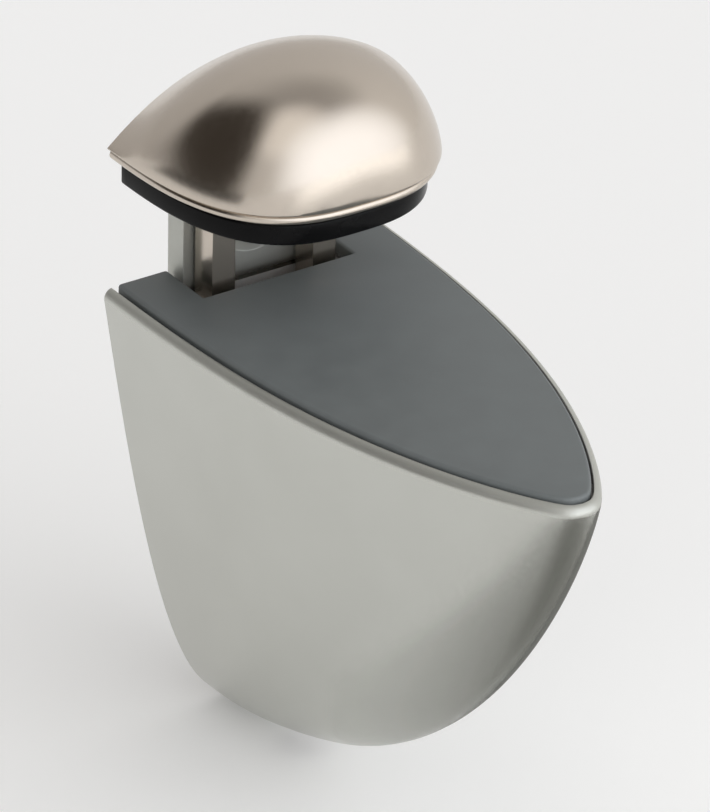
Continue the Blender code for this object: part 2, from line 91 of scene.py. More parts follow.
BACK_WEB_HEIGHT = 7.5 * MM
WALL_HOLE_RADIUS = 1.9 * MM
WALL_HOLE_HEIGHT = 3.8 * MM
COUNTERSINK_RADIUS = 3.2 * MM
DOME_HALF_WIDTH = 11.15 * MM
DOME_LENGTH = 16.5 * MM
DOME_RISE = 4.8 * MM
DOME_CROWN = 8.0 * MM
DOME_CROWN_OUT = 8.0 * MM
DOME_PLAN_POWER = 2.75
DOME_FRONT_POWER = 2.5
DOME_WALL_FULLNESS = 1.0
DOME_CROWN_FULLNESS = 0.5
DOME_EDGE_FULLNESS = 0.64
DOME_EDGE_POWER = 6.0
DOME_WALL = 1.8 * MM
LIP_HEIGHT = 0.9 * MM
RIM_EDGE = 0.08 * MM
GROOVE_DROP = 0.26 * MM
GROOVE_INSET = 0.42 * MM
BEAD_BULGE = 0.22 * MM
UPPER_PAD_THICKNESS = 1.7 * MM
UPPER_PAD_INSET = GROOVE_INSET + 0.48 * MM
PAD_EDGE_RADIUS = 0.25 * MM
LEG_OUTER = 5.2 * MM
LEG_INNER = 3.3 * MM
LEG_BACK = 2.3 * MM
LEG_FRONT = 4.6 * MM
FOOT_HEIGHT = 5.0 * MM
BOSS_RADIUS = 3.7 * MM
SCREW_OUT = 9.5 * MM
SCREW_RADIUS = 1.5 * MM
KEY_HOLE_RADIUS = 1.9 * MM
RECESS_FLOOR = -(LOWER_PAD_THICKNESS + PLAY)
SEAT_UNDERSIDE = RECESS_FLOOR - SEAT_PLATE
UPPER_PAD_TOP = SHELF_GAP + UPPER_PAD_THICKNESS
LIP_BOTTOM = UPPER_PAD_TOP + PLAY
DOME_RIM = LIP_BOTTOM + LIP_HEIGHT
NOTCH_HALF_WIDTH = UPSTAND_HALF_WIDTH + PLAY
NOTCH_DEPTH = LEG_FRONT + 2.0 * PLAY

# Heights of the screw and what holds it, from the frame
UPSTAND_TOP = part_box("lower_jaw")[1].z
FOOT_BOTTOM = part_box("upper_jaw")[0].z
FOOT_TOP = FOOT_BOTTOM + FOOT_HEIGHT
CLIP_BOTTOM, CLIP_TOP = (corner.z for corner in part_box("retaining_clip"))
WEB_TOP = CLIP_BOTTOM - PLAY
WEB_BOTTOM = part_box("screw_washer")[1].z + PLAY
SCREW_HEAD_HEIGHT = 3.0 * MM
SCREW_BOTTOM, SCREW_TIP = (corner.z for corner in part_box("clamp_screw"))

# Fineness of the meshes
LEAF_STEPS = 28 * FINE
POUCH_STEPS = 32 * FINE
CAVITY_STEPS = 10 * FINE
FILLET_STEPS = 5 * FINE
DOME_RAYS = 60 * FINE
DOME_RINGS = 26 * FINE
LIP_STEPS = 10
ROUND_STEPS = 64
CORNER_STEPS = 16
THREAD_ROWS = 120 * FINE
SOFT_EDGE_STEPS = 4
BEVEL_ANGLE = math.radians(40.0)
SMOOTH_ANGLE = math.radians(30.0)
LAST_DROP_SHARE = 0.9995

# Textures, with their scales in cells per metre
METAL_CLOUD_SCALE = 160.0
METAL_SPECK_SCALE = 2600.0
RUBBER_CLOUD_SCALE = 420.0
CLOUD_DETAIL = 3.0
GRAIN_DETAIL = 2.0
NOISE_LOW = 0.3
NOISE_HIGH = 0.7
METAL_GRAIN_STRENGTH = 0.5
RUBBER_GRAIN_STRENGTH = 0.4
EDGE_SAMPLES = 6


# Materials

def new_material(name):
    material = bpy.data.materials.new(name)
    material.use_nodes = True
    nodes = material.node_tree.nodes
    return material, nodes, material.node_tree.links, nodes["Principled BSDF"]


def noise(nodes, links, coordinates, scale, detail):
    texture = nodes.new("ShaderNodeTexNoise")
    texture.inputs["Scale"].default_value = scale
    texture.inputs["Detail"].default_value = detail
    links.new(coordinates, texture.inputs["Vector"])
    return texture.outputs["Fac"]


def ranged(nodes, links, value, low, high):
    """Spread a noise value over the range from low to high."""
    spread = nodes.new("ShaderNodeMapRange")
    spread.inputs["From Min"].default_value = NOISE_LOW
    spread.inputs["From Max"].default_value = NOISE_HIGH
    spread.inputs["To Min"].default_value = low
    spread.inputs["To Max"].default_value = high
    links.new(value, spread.inputs["Value"])
    return spread.outputs["Result"]


def blended(nodes, links, value, first, second):
    mix = nodes.new("ShaderNodeMix")
    mix.data_type = "RGBA"
    mix.inputs["A"].default_value = (*first, 1.0)
    mix.inputs["B"].default_value = (*second, 1.0)
    links.new(value, mix.inputs["Factor"])
    return mix.outputs["Result"]


def bumped(nodes, links, height, depth, strength, normal):
    bump = nodes.new("ShaderNodeBump")
    bump.inputs["Distance"].default_value = depth
    bump.inputs["Strength"].default_value = strength
    links.new(height, bump.inputs["Height"])
    if normal is not None:
        links.new(normal, bump.inputs["Normal"])
    return bump.outputs["Normal"]


def metal(name, colour, other_colour, smooth, rough, grain, grain_depth, edge_radius):
    """Plated metal: cloudy colour and roughness, a fine grain, and edges rounded in the shading."""
    material, nodes, links, shader = new_material(name)
    place = nodes.new("ShaderNodeTexCoord").outputs["Object"]
    cloud = noise(nodes, links, place, METAL_CLOUD_SCALE, CLOUD_DETAIL)
    speck = noise(nodes, links, place, METAL_SPECK_SCALE, GRAIN_DETAIL)
    fine = noise(nodes, links, place, grain, GRAIN_DETAIL)
    blend = blended(nodes, links, ranged(nodes, links, cloud, 0.0, 1.0), colour, other_colour)
    links.new(blend, shader.inputs["Base Color"])
    links.new(ranged(nodes, links, speck, smooth, rough), shader.inputs["Roughness"])
    shader.inputs["Metallic"].default_value = 1.0
    edge = nodes.new("ShaderNodeBevel")
    edge.samples = EDGE_SAMPLES
    edge.inputs["Radius"].default_value = edge_radius
    normal = bumped(nodes, links, fine, grain_depth, METAL_GRAIN_STRENGTH, edge.outputs["Normal"])
    links.new(normal, shader.inputs["Normal"])
    return material


def rubber(name, colour, other_colour, smooth, rough, grain, grain_depth):
    """Rubber of a pad: cloudy colour and roughness, and a fine grain."""
    material, nodes, links, shader = new_material(name)
    place = nodes.new("ShaderNodeTexCoord").outputs["Object"]
    cloud = noise(nodes, links, place, RUBBER_CLOUD_SCALE, CLOUD_DETAIL)
    fine = noise(nodes, links, place, grain, GRAIN_DETAIL)
    blend = blended(nodes, links, ranged(nodes, links, cloud, 0.0, 1.0), colour, other_colour)
    links.new(blend, shader.inputs["Base Color"])
    links.new(ranged(nodes, links, cloud, smooth, rough), shader.inputs["Roughness"])
    normal = bumped(nodes, links, fine, grain_depth, RUBBER_GRAIN_STRENGTH, None)
    links.new(normal, shader.inputs["Normal"])
    return material


def brush_rim(material, low, high, added):
    """Make the metal rougher from the height low up to high, where the rim is brushed."""
    nodes = material.node_tree.nodes
    links = material.node_tree.links
    shader = nodes["Principled BSDF"]
    plain = shader.inputs["Roughness"].links[0].from_socket
    parts = nodes.new("ShaderNodeSeparateXYZ")
    links.new(nodes.new("ShaderNodeTexCoord").outputs["Object"], parts.inputs["Vector"])
    rise = nodes.new("ShaderNodeMapRange")
    rise.inputs["From Min"].default_value = low
    rise.inputs["From Max"].default_value = high
    rise.inputs["To Max"].default_value = added
    links.new(parts.outputs["Z"], rise.inputs["Value"])
    total = nodes.new("ShaderNodeMath")
    links.new(plain, total.inputs[0])
    links.new(rise.outputs["Result"], total.inputs[1])
    links.new(total.outputs["Value"], shader.inputs["Roughness"])


satin_nickel = metal("satin_nickel", colour=(0.61, 0.545, 0.475), other_colour=(0.59, 0.525, 0.455),
                     smooth=0.18, rough=0.22, grain=12000.0, grain_depth=0.001 * MM,
                     edge_radius=0.10 * MM)
pouch_nickel = metal("pouch_nickel", colour=(0.585, 0.59, 0.55), other_colour=(0.565, 0.57, 0.53),
                     smooth=0.20, rough=0.25, grain=12000.0, grain_depth=0.001 * MM,
                     edge_radius=0.10 * MM)
brush_rim(pouch_nickel, low=-(RIM_DROP + RIM_FILLET), high=-(RIM_DROP + 0.4 * RIM_FILLET),
          added=0.33)
# Inside of the casting: a rougher, half-metallic finish, with a colour lighter than the plated
# outside that paints light into the hollows
cast_inside = metal("cast_inside", colour=(0.70, 0.68, 0.65), other_colour=(0.60, 0.58, 0.56),
                    smooth=0.45, rough=0.60, grain=1800.0, grain_depth=0.02 * MM,
                    edge_radius=0.2 * MM)
cast_inside.node_tree.nodes["Principled BSDF"].inputs["Metallic"].default_value = 0.5
zinc_steel = metal("zinc_steel", colour=(0.72, 0.73, 0.75), other_colour=(0.64, 0.65, 0.66),
                   smooth=0.28, rough=0.38, grain=5000.0, grain_depth=0.004 * MM,
                   edge_radius=0.06 * MM)
black_pad = rubber("black_pad", colour=(0.0020, 0.0020, 0.0022),
                   other_colour=(0.0040, 0.0040, 0.0042), smooth=0.16, rough=0.24,
                   grain=3000.0, grain_depth=0.002 * MM)
black_pad.node_tree.nodes["Principled BSDF"].inputs["Specular IOR Level"].default_value = 0.10
grey_pad = rubber("grey_pad", colour=(0.136, 0.149, 0.150), other_colour=(0.153, 0.168, 0.168),
                  smooth=0.50, rough=0.60, grain=3500.0, grain_depth=0.010 * MM)


# Mesh helpers

def finish_mesh(name, mesh_data, material):
    """Make an object of the mesh with its faces turned outwards."""
    mesh_data.normal_update()
    bmesh.ops.recalc_face_normals(mesh_data, faces=mesh_data.faces)
    mesh = bpy.data.meshes.new(name)
    mesh_data.to_mesh(mesh)
    mesh_data.free()
    item = bpy.data.objects.new(name, mesh)
    SHAPES.objects.link(item)
    mesh.materials.append(material)
    return item


def plan_point(across, out, height):
    """Place of a point seen from above; out is its distance from the wall."""
    return (across, -out, height)


def front_point(across, height, out):
    """Place of a point seen from the front."""
    return (across, -out, height)


def loft(name, rings, material):
    """Solid through closed rings of equal length, capped at both ends."""
    mesh_data = bmesh.new()
    rows = [[mesh_data.verts.new(point) for point in ring] for ring in rings]
    for upper, lower in zip(rows, rows[1:]):
        for index in range(len(upper)):
            following = (index + 1) % len(upper)
            mesh_data.faces.new((upper[index], upper[following], lower[following], lower[index]))
    mesh_data.faces.new(rows[0])
    mesh_data.faces.new(rows[-1])
    return finish_mesh(name, mesh_data, material)


def extruded(name, outline, start, end, place, material):
    """Solid that carries the outline from start to end, set in space by place."""
    rings = [[place(u, v, distance) for u, v in outline] for distance in (start, end)]
    return loft(name, rings, material)


def box(name, low, high, material):
    """Box between two corners given as (across, out, height)."""
    outline = [(low[0], low[1]), (high[0], low[1]), (high[0], high[1]), (low[0], high[1])]
    return extruded(name, outline, low[2], high[2], plan_point, material)


def turned(name, profile, centre, material):
    """Turned solid about a vertical line. The profile is (radius, height) without its poles."""
    rings = []
    for radius, height in profile:
        ring = []
        for step in range(ROUND_STEPS):
            turn = math.tau * step / ROUND_STEPS
            ring.append((centre[0] + radius * math.cos(turn), centre[1] + radius * math.sin(turn),
                         height))
        rings.append(ring)
    return loft(name, rings, material)


def combine(target, tool, operation):
    boolean = target.modifiers.new(tool.name, "BOOLEAN")
    boolean.operation = operation
    boolean.solver = "EXACT"
    boolean.material_mode = "TRANSFER"
    boolean.object = tool


def cut(target, tool):
    combine(target, tool, "DIFFERENCE")


def join(target, tool):
    combine(target, tool, "UNION")


def rounded(item, width, segments):
    bevel = item.modifiers.new("rounded", "BEVEL")
    bevel.width = width
    bevel.segments = segments
    bevel.limit_method = "ANGLE"
    bevel.angle_limit = BEVEL_ANGLE


def settle(item, tools):
    """Apply the modifiers, remove the tools and smooth the surfaces up to the smoothing angle."""
    bpy.context.view_layer.update()
    evaluated = item.evaluated_get(bpy.context.evaluated_depsgraph_get())
    mesh = bpy.data.meshes.new_from_object(evaluated)
    item.modifiers.clear()
    item.data = mesh
    for tool in tools:
        bpy.data.objects.remove(tool, do_unlink=True)
    mesh.shade_smooth()
    mesh.set_sharp_from_angle(angle=SMOOTH_ANGLE)


# Leaf form of the pouch

def leaf(half_width, length, nose_radius):
    """Leaf outline as (across, out): a smaller leaf grown all round by the nose radius."""
    core_width = half_width - nose_radius
    core_length = length - nose_radius
    right = []
    for step in range(LEAF_STEPS + 1):
        turn = math.pi / 2.0 * (1.0 - (1.0 - step / LEAF_STEPS) ** 2)
        across = max(math.cos(turn), 0.0) ** (2.0 / PLAN_SIDE_POWER)
        along = math.sin(turn) ** (2.0 / PLAN_NOSE_POWER)
        slope_x = PLAN_SIDE_POWER * across ** (PLAN_SIDE_POWER - 1.0) / core_width
        slope_y = PLAN_NOSE_POWER * along ** (PLAN_NOSE_POWER - 1.0) / core_length
        steepness = math.hypot(slope_x, slope_y)
        x = core_width * across + nose_radius * slope_x / steepness
        out = core_length * along + nose_radius * slope_y / steepness
        right.append((x, out))
    right[-1] = (0.0, length)
    return right + [(-x, out) for x, out in reversed(right[:-1])]


def pouch_outline(drop, inset):
    """Outline of the pouch at a depth under the shelf, drawn in by the inset."""
    share = min(max(drop / POUCH_DEPTH, 0.0), LAST_DROP_SHARE)
    width_share = (1.0 - share ** WIDTH_DROP_POWER) ** (1.0 / WIDTH_FULL_POWER)
    length_share = (1.0 - share ** LENGTH_DROP_POWER) ** (1.0 / LENGTH_FULL_POWER)
    half_width = POUCH_HALF_WIDTH * width_share - inset
    length = POUCH_LENGTH * length_share - inset
    nose_radius = max(POUCH_NOSE_RADIUS * width_share - inset, SMALLEST_NOSE_SHARE * half_width)
    return leaf(half_width, length, nose_radius)


def open_at_wall(outline):
    """Carry the outline back past the wall plane."""
    first = (outline[0][0], -CUT_OVER)
    last = (outline[-1][0], -CUT_OVER)
    return [first] + outline + [last]


def pouch_rings():
    """Rings of the pouch from its rounded rim down to the keel."""
    rings = []
    for step in range(FILLET_STEPS + 1):
        turn = math.pi / 2.0 * step / FILLET_STEPS
        inset = RIM_FILLET * (1.0 - math.sin(turn))
        drop = RIM_DROP + RIM_FILLET * (1.0 - math.cos(turn))
        rings.append([plan_point(x, out, -drop) for x, out in pouch_outline(drop, inset)])
    top = RIM_DROP + RIM_FILLET
    for step in range(1, POUCH_STEPS + 1):
        drop = top + (POUCH_DEPTH - top) * math.sin(math.pi / 2.0 * step / POUCH_STEPS)
        rings.append([plan_point(x, out, -drop) for x, out in pouch_outline(drop, 0.0)])
    return rings


def pouch_cavity(name, top, bottom):
    """Hollow between two heights, one wall inside the pouch and open at the wall plane."""
    rings = []
    for step in range(CAVITY_STEPS + 1):
        height = top + (bottom - top) * step / CAVITY_STEPS
        outline = open_at_wall(pouch_outline(-height, POUCH_WALL))
        rings.append([plan_point(x, out, height) for x, out in outline])
    return loft(name, rings, cast_inside)


def upstand_outline():
    """Outline of the back web and the upstand on it as (across, height)."""
    web_bottom = RECESS_FLOOR - BACK_WEB_HEIGHT
    web_half = pouch_outline(-web_bottom, 0.5 * POUCH_WALL)[0][0]
    right = [(web_half, web_bottom), (web_half, RECESS_FLOOR), (UPSTAND_HALF_WIDTH, RECESS_FLOOR)]
    for step in range(CORNER_STEPS + 1):
        turn = math.pi / 2.0 * step / CORNER_STEPS
        x = UPSTAND_HALF_WIDTH - UPSTAND_CORNER * (1.0 - math.cos(turn))
        height = UPSTAND_TOP - UPSTAND_CORNER * (1.0 - math.sin(turn))
        right.append((x, height))
    return right + [(-x, height) for x, height in reversed(right)]


def make_pouch():
    """Lower jaw: the leaf casting with its recess, hollows, upstand, slot and holes."""
    pouch = loft("pouch_casting", pouch_rings(), pouch_nickel)
    tools = []

    def use(operation, tool):
        tools.append(tool)
        combine(pouch, tool, operation)

    use("DIFFERENCE", extruded("pad_recess", open_at_wall(pouch_outline(0.0, PAD_RIM)),
                               RECESS_FLOOR, CUT_OVER, plan_point, cast_inside))
    upper = pouch_cavity("upper_hollow", SEAT_UNDERSIDE, WEB_TOP)
    rib = box("nose_rib", (-RIB_THICKNESS / 2, RIB_START, WEB_TOP - CUT_OVER),
              (RIB_THICKNESS / 2, POUCH_LENGTH, CUT_OVER), cast_inside)
    cut(upper, rib)
    use("DIFFERENCE", upper)
    cavity_floor = -(POUCH_DEPTH - FLOOR_THICKNESS)
    use("DIFFERENCE", pouch_cavity("lower_hollow", WEB_BOTTOM, cavity_floor))
    use("UNION", extruded("upstand", upstand_outline(), 0.0, UPSTAND_THICKNESS, front_point,
                          pouch_nickel))
    use("DIFFERENCE", box("tail_slot", (-LEG_OUTER - PLAY, UPSTAND_THICKNESS,
                                        SEAT_UNDERSIDE - CUT_OVER),
                          (LEG_OUTER + PLAY, LEG_FRONT + PLAY, CUT_OVER), cast_inside))
    sink_depth = COUNTERSINK_RADIUS - WALL_HOLE_RADIUS
    hole = turned("wall_hole", [
        (COUNTERSINK_RADIUS + CUT_OVER, UPSTAND_THICKNESS + CUT_OVER),
        (WALL_HOLE_RADIUS, UPSTAND_THICKNESS - sink_depth),
        (WALL_HOLE_RADIUS, -CUT_OVER)], (0.0, 0.0), pouch_nickel)
    hole.rotation_euler = (math.pi / 2.0, 0.0, 0.0)
    hole.location = (0.0, 0.0, WALL_HOLE_HEIGHT)
    use("DIFFERENCE", hole)
    use("DIFFERENCE", box("screw_way", (-SCREW_RADIUS - PLAY, -CUT_OVER, WEB_BOTTOM - CUT_OVER),
                          (SCREW_RADIUS + PLAY, SCREW_OUT, WEB_TOP + CUT_OVER), cast_inside))
    for name, radius, low, high in (
            ("screw_hole", SCREW_RADIUS + PLAY, WEB_BOTTOM - CUT_OVER, WEB_TOP + CUT_OVER),
            ("key_hole", KEY_HOLE_RADIUS, -POUCH_DEPTH - CUT_OVER, cavity_floor + CUT_OVER)):
        use("DIFFERENCE", turned(name, [(radius, high), (radius, low)], (0.0, -SCREW_OUT),
                                 cast_inside))
    settle(pouch, tools + [rib])
    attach(pouch, "lower_jaw")
    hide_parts("lower_jaw")


# Dome form of the upper jaw

def dome_height(across, out, wall):
    """Height of the dome over its rim, for its outside or for a hollow one wall inside it."""
    length = DOME_LENGTH - wall
    crown = DOME_CROWN - wall
    rise = DOME_RISE - wall
    plan_share = min(out / length, 1.0) ** DOME_PLAN_POWER
    half_width = (DOME_HALF_WIDTH - wall) * (1.0 - plan_share) ** (1.0 / DOME_PLAN_POWER)
    if abs(across) >= half_width:
        return 0.0
    behind = max(1.0 - out / DOME_CROWN_OUT, 0.0) ** 2
    fullness = DOME_CROWN_FULLNESS + (DOME_WALL_FULLNESS - DOME_CROWN_FULLNESS) * behind
    if out < DOME_CROWN_OUT:
        ridge = crown - (crown - rise) * behind
    else:
        fall = min((out - DOME_CROWN_OUT) / (length - DOME_CROWN_OUT), 1.0)
        ridge = crown * (1.0 - fall ** DOME_FRONT_POWER) ** (1.0 / DOME_FRONT_POWER)
    share = abs(across) / half_width
    fullness += max(DOME_EDGE_FULLNESS - fullness, 0.0) * share ** DOME_EDGE_POWER
    return ridge * (1.0 - share ** 2) ** fullness


def dome_outline(inset):
    """Rim of the dome from right to left as (across, out), drawn in by the inset."""
    outline = []
    for ray in range(DOME_RAYS + 1):
        turn = math.pi * ray / DOME_RAYS
        across = math.copysign(abs(math.cos(turn)) ** (2.0 / DOME_PLAN_POWER), math.cos(turn))
        along = max(math.sin(turn), 0.0) ** (2.0 / DOME_PLAN_POWER)
        outline.append(((DOME_HALF_WIDTH - inset) * across, (DOME_LENGTH - inset) * along))
    outline[0] = (DOME_HALF_WIDTH - inset, 0.0)
    outline[-1] = (-(DOME_HALF_WIDTH - inset), 0.0)
    return outline


def dome_solid(name, wall, skirts, behind, material):
    """Solid under the dome surface; its flat side at the wall is carried back by behind."""
    mesh_data = bmesh.new()
    rim = dome_outline(wall)
    rings = []
    for step in range(1, DOME_RINGS + 1):
        share = math.sin(math.pi / 2.0 * step / DOME_RINGS)
        ring = []
        for x, out in rim:
            height = DOME_RIM + dome_height(x * share, out * share, wall)
            ring.append((x * share, out * share, height))
        rings.append(ring)
    for inset, height in skirts:
        rings.append([(x, out, height) for x, out in dome_outline(inset)])
    rows = [[mesh_data.verts.new(plan_point(*point)) for point in ring] for ring in rings]
    pole = mesh_data.verts.new(plan_point(0.0, 0.0, DOME_RIM + dome_height(0.0, 0.0, wall)))
    for near, far in zip(rows[0], rows[0][1:]):
        mesh_data.faces.new((pole, near, far))
    for upper, lower in zip(rows, rows[1:]):
        for index in range(len(upper) - 1):
            mesh_data.faces.new((upper[index], upper[index + 1], lower[index + 1], lower[index]))
    mesh_data.faces.new(rows[-1])
    right_side = [row[0] for row in reversed(rows)]
    left_side = [row[-1] for row in rows]
    side = mesh_data.faces.new(right_side + [pole] + left_side)
    if behind > 0.0:
        carried = bmesh.ops.extrude_discrete_faces(mesh_data, faces=[side])["faces"][0]
        bmesh.ops.translate(mesh_data, vec=(0.0, behind, 0.0), verts=carried.verts)
    return finish_mesh(name, mesh_data, material)


def boss_outline():
    """Outline of the boss round the screw, carried back to the legs."""
    outline = [(BOSS_RADIUS, LEG_BACK)]
    half_steps = ROUND_STEPS // 2
    for step in range(half_steps + 1):
        turn = math.pi * step / half_steps
        outline.append((BOSS_RADIUS * math.cos(turn), SCREW_OUT + BOSS_RADIUS * math.sin(turn)))
    outline.append((-BOSS_RADIUS, LEG_BACK))
    return outline


def lip_profile():
    """Lip under the rim as (inset, height): a small edge, the groove, then the bead."""
    groove = DOME_RIM - GROOVE_DROP
    profile = [(0.5 * RIM_EDGE, DOME_RIM - RIM_EDGE), (GROOVE_INSET, groove)]
    for step in range(1, LIP_STEPS + 1):
        turn = math.pi * step / LIP_STEPS
        inset = GROOVE_INSET - BEAD_BULGE * math.sin(turn)
        profile.append((inset, LIP_BOTTOM + 0.5 * (groove - LIP_BOTTOM) * (1.0 + math.cos(turn))))
    return profile


def make_dome():
    """Upper jaw: the dome with its lip, two legs and threaded boss."""
    dome = dome_solid("dome_casting", 0.0, lip_profile(), 0.0, satin_nickel)
    leg_top = DOME_RIM + 0.5 * DOME_RISE
    right = [(LEG_OUTER, FOOT_BOTTOM), (LEG_OUTER, leg_top), (LEG_INNER, leg_top),
             (LEG_INNER, FOOT_TOP)]
    fork_outline = right + [(-x, height) for x, height in reversed(right)]
    fork = extruded("fork", fork_outline, LEG_BACK, LEG_FRONT, front_point, satin_nickel)
    join(dome, fork)
    boss = extruded("boss", boss_outline(), FOOT_BOTTOM, FOOT_TOP, plan_point, satin_nickel)
    join(dome, boss)
    hollow = dome_solid("dome_hollow", DOME_WALL, [(DOME_WALL, LIP_BOTTOM - CUT_OVER)], CUT_OVER,
                        cast_inside)
    tools = [fork, boss, hollow]
    for name, low, high in (("right_leg", LEG_INNER, LEG_OUTER),
                            ("left_leg", -LEG_OUTER, -LEG_INNER)):
        leg = box(name, (low, LEG_BACK, FOOT_BOTTOM), (high, LEG_FRONT, DOME_RIM + DOME_CROWN),
                  satin_nickel)
        cut(hollow, leg)
        tools.append(leg)
    cut(dome, hollow)
    thread = turned("thread_hole", [(SCREW_RADIUS + PLAY, FOOT_TOP + CUT_OVER),
                                    (SCREW_RADIUS + PLAY, FOOT_BOTTOM - CUT_OVER)],
                    (0.0, -SCREW_OUT), cast_inside)
    tools.append(thread)
    cut(dome, thread)
    settle(dome, tools)
    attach(dome, "upper_jaw")
    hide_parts("upper_jaw")


# Pads

def notched(outline):
    """Keep the outline clear of the wall and cut the notch for the tail and the upstand."""
    trimmed = [(x, max(out, PLAY)) for x, out in outline]
    notch = [(-NOTCH_HALF_WIDTH, PLAY), (-NOTCH_HALF_WIDTH, NOTCH_DEPTH),
             (NOTCH_HALF_WIDTH, NOTCH_DEPTH), (NOTCH_HALF_WIDTH, PLAY)]
    return trimmed + notch


def make_pads():
    """Grey pad on the seat and black pad under the dome, which has a plug up into it."""
    seat = extruded("seat_pad", notched(pouch_outline(0.0, PAD_RIM + PLAY)),
                    -LOWER_PAD_THICKNESS, 0.0, plan_point, grey_pad)
    rounded(seat, PAD_EDGE_RADIUS, SOFT_EDGE_STEPS)
    settle(seat, [])
    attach(seat, "lower_jaw")
    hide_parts("lower_pad")

    plate = extruded("clamp_pad", notched(dome_outline(UPPER_PAD_INSET)),
                     SHELF_GAP, UPPER_PAD_TOP, plan_point, black_pad)
    rounded(plate, PAD_EDGE_RADIUS, SOFT_EDGE_STEPS)
    plug = extruded("pad_plug", notched(dome_outline(DOME_WALL + PLAY)),
                    UPPER_PAD_TOP - PLAY, DOME_RIM - PLAY, plan_point, black_pad)
    join(plate, plug)
    settle(plate, [plug])
    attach(plate, "upper_jaw")
    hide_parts("upper_pad")


# Clamp screw with its thread and knurled head

PITCH = 0.5 * MM
THREAD_DEPTH = 0.28 * MM
TOOTH_SLOPE = 2.6
TOOTH_FLAT = 0.15
TIP_CHAMFER = 0.35 * MM
NECK_RADIUS = 1.0 * MM
SHANK_FILLET = 0.15 * MM
SHANK_FILLET_HEIGHT = 0.2 * MM
HEAD_RADIUS = 2.75 * MM
HEAD_TOP = SCREW_BOTTOM + SCREW_HEAD_HEIGHT
HEAD_TOP_EDGE = 0.25 * MM
KNURL_RIDGES = 36
KNURL_DEPTH = 0.06 * MM
SCREW_STEPS = 4 * KNURL_RIDGES
SOCKET_ACROSS = 2.5 * MM
SOCKET_DEPTH = 1.5 * MM
GROOVE_TOP = CLIP_TOP + PLAY
GROOVE_BOTTOM = CLIP_BOTTOM - PLAY
THREAD_END = GROOVE_TOP + PITCH

# Chamfer at the socket's mouth as (radius, height)
MOUTH_INSIDE = (1.15 * MM, SCREW_BOTTOM + 0.25 * MM)
MOUTH_OUTSIDE = (1.65 * MM, SCREW_BOTTOM - 0.04 * MM)

# Rings down the screw as (height, radius), those of the knurl as (height, depth)
SHANK = ((GROOVE_TOP, SCREW_RADIUS), (GROOVE_TOP, NECK_RADIUS),
         (GROOVE_BOTTOM, NECK_RADIUS), (GROOVE_BOTTOM, SCREW_RADIUS),
         (HEAD_TOP + SHANK_FILLET_HEIGHT, SCREW_RADIUS), (HEAD_TOP, SCREW_RADIUS + SHANK_FILLET),
         (HEAD_TOP, HEAD_RADIUS - HEAD_TOP_EDGE))
KNURL = ((HEAD_TOP - 0.1 * MM, 0.0), (HEAD_TOP - 0.25 * MM, KNURL_DEPTH),
         (SCREW_BOTTOM + 0.75 * MM, KNURL_DEPTH), (SCREW_BOTTOM + 0.6 * MM, 0.0))
HEAD_END = ((SCREW_BOTTOM + 0.3 * MM, HEAD_RADIUS),
            (SCREW_BOTTOM + 0.08 * MM, HEAD_RADIUS - 0.12 * MM),
            (SCREW_BOTTOM, HEAD_RADIUS - TIP_CHAMFER))


def screw_ring(height, radius_at):
    """Ring of points round the screw, with the radius at each turn from radius_at."""
    ring = []
    for step in range(SCREW_STEPS):
        turn = math.tau * step / SCREW_STEPS
        radius = radius_at(turn)
        ring.append((radius * math.cos(turn), -SCREW_OUT + radius * math.sin(turn), height))
    return ring


def thread_radius(height, turn):
    """Radius of the threaded part, which fades out at both ends and is chamfered at the tip."""
    fade = min((SCREW_TIP - height) / TIP_CHAMFER, (height - THREAD_END) / PITCH, 1.0)
    limit = SCREW_RADIUS - TIP_CHAMFER * max(1.0 - (SCREW_TIP - height) / TIP_CHAMFER, 0.0)
    phase = (height / PITCH - turn / math.tau) % 1.0
    tooth = min(max(TOOTH_SLOPE * abs(phase - 0.5) - TOOTH_FLAT, 0.0), 1.0)
    return min(SCREW_RADIUS - THREAD_DEPTH * (1.0 - tooth) * max(fade, 0.0), limit)


def knurl_radius(depth, turn):
    """Radius of the head where its ridges are cut by the depth."""
    return HEAD_RADIUS - depth * (1.0 + math.cos(KNURL_RIDGES * turn))


def make_screw():
    """Clamp screw, head down, with its thread, clip groove, knurled head and hex socket."""
    rings = []
    for row in range(THREAD_ROWS + 1):
        height = SCREW_TIP + (THREAD_END - SCREW_TIP) * row / THREAD_ROWS
        rings.append(screw_ring(height, lambda turn, height=height: thread_radius(height, turn)))
    for height, radius in SHANK:
        rings.append(screw_ring(height, lambda turn, radius=radius: radius))
    for height, depth in KNURL:
        rings.append(screw_ring(height, lambda turn, depth=depth: knurl_radius(depth, turn)))
    for height, radius in HEAD_END:
        rings.append(screw_ring(height, lambda turn, radius=radius: radius))
    screw = loft("socket_screw", rings, zinc_steel)

    socket_radius = SOCKET_ACROSS / math.sqrt(3.0)
    corners = [(socket_radius * math.cos(math.pi / 3.0 * step),
                SCREW_OUT + socket_radius * math.sin(math.pi / 3.0 * step)) for step in range(6)]
    socket = extruded("hex_socket", corners, SCREW_BOTTOM + SOCKET_DEPTH, SCREW_BOTTOM - CUT_OVER,
                      plan_point, zinc_steel)
    mouth = turned("socket_mouth", [MOUTH_INSIDE, MOUTH_OUTSIDE], (0.0, -SCREW_OUT), zinc_steel)
    cut(screw, socket)
    cut(screw, mouth)
    settle(screw, [socket, mouth])
    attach(screw, "clamp_screw")
    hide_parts("clamp_screw")


# Washer and clip, which keep their meshes from the frame

WASHER_EDGE = 0.08 * MM
CLIP_EDGE = 0.06 * MM
SMALL_EDGE_STEPS = 2


def dress_small_parts():
    """Give the washer and the clip their steel and small rounded edges."""
    for name, width in (("screw_washer", WASHER_EDGE), ("retaining_clip", CLIP_EDGE)):
        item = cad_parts[name]
        item.data.materials.clear()
        item.data.materials.append(zinc_steel)
        rounded(item, width, SMALL_EDGE_STEPS)


